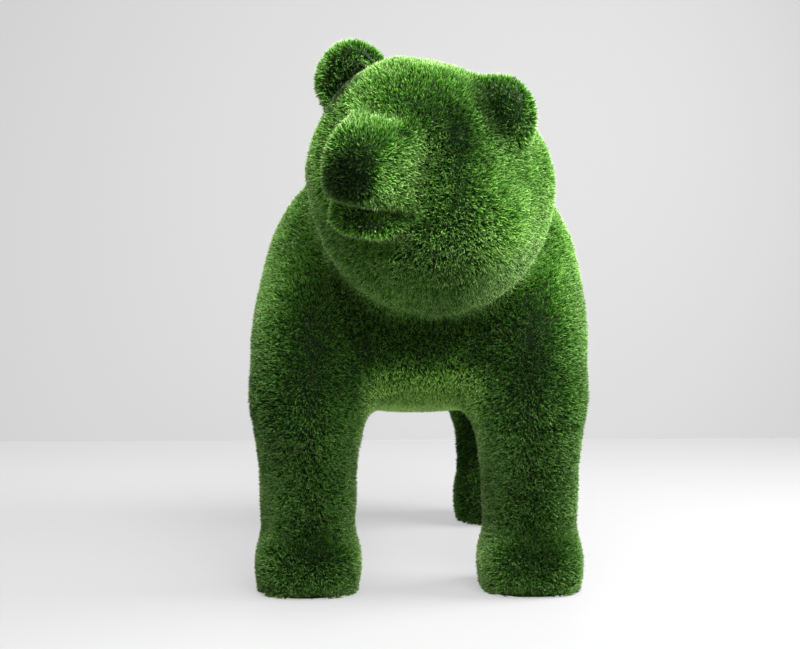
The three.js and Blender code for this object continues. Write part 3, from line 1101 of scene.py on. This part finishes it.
    def _store_uv(self, real: bpy.types.Node) -> bpy.types.Node:
        """Mixes a blade's tone with its tuft's, adds painted shade and light, stores it in the material's
        UV map.

        Args:
            real: The realize instances node.

        Returns:
            The node that stores the map.
        """
        own = self._node("GeometryNodeInputNamedAttribute")
        own.data_type = "FLOAT_VECTOR"
        own.inputs["Name"].default_value = UV_NAME
        tuft = self._node("GeometryNodeInputNamedAttribute")
        tuft.data_type = "FLOAT"
        tuft.inputs["Name"].default_value = TUFT_ATTRIBUTE
        parts = self._node("ShaderNodeSeparateXYZ")
        self._link(own, "Attribute", parts, "Vector")
        share = self._node("ShaderNodeMath")
        share.operation = "MULTIPLY_ADD"
        share.inputs[1].default_value = self.tuft_share
        self._link(tuft, "Attribute", share, 0)
        scaled = self._node("ShaderNodeMath")
        scaled.operation = "MULTIPLY"
        scaled.inputs[1].default_value = 1 - self.tuft_share
        self._link(parts, "X", scaled, 0)
        self.tree.links.new(scaled.outputs["Value"], share.inputs[2])
        dry = self._node("ShaderNodeMath")
        dry.operation = "LESS_THAN"
        dry.inputs[1].default_value = DRY_LIMIT
        self._link(parts, "X", dry, 0)
        # Painted shade and painted light from the surface darken or brighten the tone.
        shade = self._node("GeometryNodeInputNamedAttribute")
        shade.data_type = "FLOAT"
        shade.inputs["Name"].default_value = PAINTED_LIGHT_ATTRIBUTE
        shaded = self._node("ShaderNodeMath")
        shaded.operation = "MULTIPLY"
        self._link(share, "Value", shaded, 0)
        self.tree.links.new(shade.outputs["Attribute"], shaded.inputs[1])
        kept = self._node("ShaderNodeMath")
        kept.operation = "MAXIMUM"
        kept.inputs[1].default_value = LEAST_TONE
        self._link(shaded, "Value", kept, 0)
        chosen = self._node("ShaderNodeMix")
        self.tree.links.new(dry.outputs["Value"], chosen.inputs["Factor"])
        self.tree.links.new(kept.outputs["Value"], chosen.inputs["A"])
        self.tree.links.new(parts.outputs["X"], chosen.inputs["B"])
        joined = self._node("ShaderNodeCombineXYZ")
        self.tree.links.new(chosen.outputs["Result"], joined.inputs["X"])
        self._link(parts, "Y", joined, "Y")
        store = self._node("GeometryNodeStoreNamedAttribute")
        store.domain = "CORNER"
        store.data_type = "FLOAT2"
        store.inputs["Name"].default_value = UV_NAME
        self._link(real, "Geometry", store, "Geometry")
        self._link(joined, "Vector", store, "Value")
        return store

    def grow(self, base: bpy.types.Mesh, spacing: float, seed: int) -> bpy.types.Mesh:
        """Grows the turf on one region.

        Args:
            base: The region's part of the backing surface.
            spacing: Least distance between tufts, in metres.
            seed: Seed of this region's spread.

        Returns:
            A plain mesh of blades with its UV map.
        """
        carrier = bpy.data.objects.new("turf_carrier", base)
        bpy.context.scene.collection.objects.link(carrier)
        modifier = carrier.modifiers.new("turf", "NODES")
        modifier.node_group = self.tree
        ids = {
            item.name: item.identifier
            for item in self.tree.interface.items_tree
            if item.item_type == "SOCKET" and item.in_out == "INPUT"
        }
        modifier[ids["Spacing"]] = spacing
        modifier[ids["Greatest Density"]] = self.crowding / spacing**2
        modifier[ids["Tilt"]] = self.tilt
        modifier[ids["Patch Scale"]] = self.patch
        modifier[ids["Seed"]] = self.seed + seed
        graph = bpy.context.evaluated_depsgraph_get()
        mesh = bpy.data.meshes.new_from_object(carrier.evaluated_get(graph))
        carrier.modifiers.remove(modifier)
        bpy.data.objects.remove(carrier)
        for name in (TUFT_ATTRIBUTE, PAINTED_LIGHT_ATTRIBUTE):
            if name in mesh.attributes:
                mesh.attributes.remove(mesh.attributes[name])
        return mesh


@dataclass
class Backing:
    """The dark surface under the blades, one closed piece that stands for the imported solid.

    Args:
        surface: The surface it is made from.
        finish: Its finish.
    """

    surface: FigureSurface
    finish: BackingFinish

    def build(self) -> bpy.types.Object:
        """Returns:
            The finished piece.
        """
        mesh = self.surface.to_mesh("turf_backing")
        mesh.attributes.remove(mesh.attributes[PAINTED_LIGHT_ATTRIBUTE])
        mesh.materials.append(self.finish.material())
        piece = bpy.data.objects.new("turf_backing", mesh)
        bpy.context.scene.collection.objects.link(piece)
        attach(piece, BODY)
        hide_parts(NODE)
        LOG.info("%s: %d triangles", piece.name, len(mesh.polygons))
        return piece


@dataclass
class TurfPatch:
    """The blades on one region of the figure.

    Args:
        region: Which region.
        surface: The backing surface.
        grower: The tree that grows the turf.
        tuft_triangles: Triangles in one tuft.
        budget: Triangles that the spacing is set for; about an eighth fewer come out.
        seed: Seed of this region.
        packing: Share of the squares of the spacing that get a tuft.
    """

    region: Region
    surface: FigureSurface
    grower: TurfGrower
    tuft_triangles: int
    budget: int
    seed: int
    packing: float = 0.66

    def spacing(self, area: float) -> float:
        """Works out the distance between tufts that spends the budget.

        Args:
            area: The region's area, in square metres.

        Returns:
            The least distance between tufts, in metres.
        """
        return math.sqrt(self.packing * area * self.tuft_triangles / self.budget)

    def build(self) -> bpy.types.Object:
        """Returns:
            The finished piece.
        """
        chosen = self.surface.region_of_faces() == self.region.value
        base = self.surface.to_mesh(f"{self.region.value}_base", chosen)
        area = sum(face.area for face in base.polygons)
        mesh = self.grower.grow(base, self.spacing(area), self.seed)
        mesh.name = self.region.value
        co = np.empty(len(mesh.vertices) * 3, np.float32)
        mesh.vertices.foreach_get("co", co)
        co = co.reshape(-1, 3)
        co[:, 2] = np.maximum(co[:, 2], SOLE_HEIGHT)
        mesh.vertices.foreach_set("co", co.ravel())
        mesh.update()
        piece = bpy.data.objects.new(self.region.value, mesh)
        bpy.context.scene.collection.objects.link(piece)
        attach(piece, BODY)
        LOG.info("%s: %.2f m2, %d triangles", piece.name, area, len(mesh.polygons))
        bpy.data.meshes.remove(base)
        return piece


@dataclass(frozen=True)
class SoftSource:
    """One square, soft light of the studio.

    Args:
        place: Where it hangs.
        aim: The point that it faces.
        size: Length of its side, in metres.
        power: Its power, in watts.
        spread_deg: Angle over which it spreads.
    """

    place: Point
    aim: Point
    size: float
    power: float
    spread_deg: float

    def build(self, name: str) -> None:
        """Adds the light.

        Args:
            name: Its name.
        """
        data = bpy.data.lights.new(name, "AREA")
        data.shape = "SQUARE"
        data.size = self.size
        data.energy = self.power
        data.spread = math.radians(self.spread_deg)
        lamp = bpy.data.objects.new(name, data)
        lamp.location = self.place
        facing = Vector(self.aim) - Vector(self.place)
        lamp.rotation_euler = facing.to_track_quat("-Z", "Y").to_euler()
        bpy.context.scene.collection.objects.link(lamp)


@dataclass
class Studio:
    """Plain floor, plain backdrop, soft light and the photograph's camera.

    Args:
        floor: Finish of the floor.
        backdrop: Finish of the backdrop.
        eye_height: Height of the camera over the floor, in metres.
        focal_px: Focal length in pixels of the 800 pixel wide picture.
        horizon_px: Row of the horizon in the picture.
        vanish_px: Column of the point where lines that run straight back meet.
        turn_deg: Turn of the bear to those lines.
        side: The bear's place across them, in metres.
        distance: Its distance from the camera along them, in metres.
        picture_width: Width of the photograph in pixels.
        picture_height: Its height in pixels.
        stage_side: Length of a side of floor and backdrop, in metres.
        floor_shift: How far behind the bear's middle the floor's middle is, in metres.
        backdrop_distance: How far behind the bear's middle the backdrop stands.
        backdrop_middle: Height of the backdrop's middle.
        world_strength: Strength of the even surrounding light.
    """

    floor: StageFinish
    backdrop: StageFinish
    eye_height: float = 1.0
    focal_px: float = 1740.0
    horizon_px: float = 212.0
    vanish_px: float = 427.0
    turn_deg: float = 2.82
    side: float = -0.0362
    distance: float = 5.01
    picture_width: float = 800.0
    picture_height: float = 649.0
    stage_side: float = 40.0
    floor_shift: float = 6.0
    backdrop_distance: float = 2.6
    backdrop_middle: float = 8.0
    world_strength: float = 0.25

    def build(self) -> None:
        """Builds floor, backdrop, lights and camera."""
        floor_place = (0.0, self.floor_shift, 0.0)
        backdrop_place = (0.0, self.backdrop_distance, self.backdrop_middle)
        self._plane("studio_floor", floor_place, (0.0, 0.0, 0.0), self.floor)
        self._plane("studio_backdrop", backdrop_place, (math.pi / 2, 0.0, 0.0), self.backdrop)
        self._lights()
        self._camera()
        LOG.info("studio ready")

    def _plane(self, name: str, place: Point, turn: Point, finish: StageFinish) -> None:
        """Adds one plain surface of the studio.

        Args:
            name: Its name.
            place: Its middle.
            turn: Its rotation.
            finish: Its finish.
        """
        half = self.stage_side / 2
        corners = [(-half, -half, 0), (half, -half, 0), (half, half, 0), (-half, half, 0)]
        mesh = bpy.data.meshes.new(name)
        mesh.from_pydata(corners, [], [(0, 1, 2, 3)])
        mesh.materials.append(finish.material())
        plane = bpy.data.objects.new(name, mesh)
        plane.location = place
        plane.rotation_euler = turn
        bpy.context.scene.collection.objects.link(plane)

    def _lights(self) -> None:
        """Adds the soft sources and an even surrounding light."""
        for light, source in SOURCES.items():
            source.build(light.value)
        world = bpy.data.worlds.new("studio_world")
        world.use_nodes = True
        world.node_tree.nodes["Background"].inputs["Color"].default_value = (1.0, 1.0, 1.0, 1.0)
        world.node_tree.nodes["Background"].inputs["Strength"].default_value = self.world_strength
        bpy.context.scene.world = world
        bpy.context.scene.view_settings.view_transform = "Standard"

    def _camera(self) -> None:
        """Stands the camera where the picture's horizon and the bear's paws say it was."""
        turn = math.radians(self.turn_deg)
        data = bpy.data.cameras.new("camera")
        data.sensor_width = 36.0
        data.lens = self.focal_px * data.sensor_width / self.picture_width
        data.dof.use_dof = False
        camera = bpy.data.objects.new("camera", data)
        camera.location = (
            -self.side * math.cos(turn) - self.distance * math.sin(turn),
            self.side * math.sin(turn) - self.distance * math.cos(turn),
            self.eye_height,
        )
        down = math.atan2(self.picture_height / 2 - self.horizon_px, self.focal_px)
        heading = math.atan2(self.vanish_px - self.picture_width / 2, self.focal_px) - turn
        camera.rotation_euler = (math.pi / 2 - down, 0.0, heading)
        bpy.context.scene.collection.objects.link(camera)
        bpy.context.scene.camera = camera


SOURCES = {
    Light.RIGHT_WINDOW: SoftSource((3.4, 0.1, 2.6), (0.0, -0.3, 1.0), 2.6, 400.0, 130.0),
    Light.LEFT_WINDOW: SoftSource((-3.4, 0.4, 2.5), (0.0, -0.3, 1.0), 2.8, 26.0, 130.0),
    Light.CEILING: SoftSource((0.1, -1.0, 3.9), (0.0, -0.5, 0.6), 4.0, 225.0, 150.0),
    Light.SOFTBOX: SoftSource((0.7, -2.4, 3.1), (0.0, -0.75, 1.25), 2.2, 52.0, 80.0),
}

# The near-black root is painted shade deep in the pile, and the whitish tip is a painted sheen.
TURF = TurfFinish(
    root=(0.003, 0.014, 0.001),
    middle=(0.055, 0.255, 0.003),
    tip=(0.72, 0.9, 0.42),
    thatch=(0.07, 0.055, 0.02),
    roughness=0.7,
)
BACKING = BackingFinish(dark=(0.003, 0.018, 0.001), light=(0.012, 0.042, 0.003), scale=38.0)
FLOOR = StageFinish("studio_floor", (0.1, 0.1, 0.1), 0.6, 0.47)
BACKDROP = StageFinish("studio_backdrop", (0.16, 0.16, 0.16), 0.9, 0.36)

BUDGETS = {
    Region.HEAD: 202000,
    Region.CHEST: 202000,
    Region.FRONT_LEGS: 194000,
    Region.BARREL: 190000,
    Region.RUMP: 202000,
}


def main() -> None:
    """Builds the backing, the turf of every region and the studio."""
    logging.basicConfig(level=logging.INFO, format="%(name)s %(message)s")
    surface = FigureSurface(HeadPose(), FaceCarving(), PaintedFaceShade()).build()
    Backing(surface, BACKING).build()
    material = TURF.material()
    tufts = TuftSet()
    collection = tufts.build(material)
    grower = TurfGrower(collection, material)
    share = 1.0
    for number, (region, budget) in enumerate(BUDGETS.items()):
        TurfPatch(region, surface, grower, tufts.triangles_each(), int(budget * share), number).build()
    for tuft in list(collection.objects):
        bpy.data.objects.remove(tuft)
    bpy.data.collections.remove(collection)
    Studio(FLOOR, BACKDROP).build()


if __name__ == "__main__":
    main()
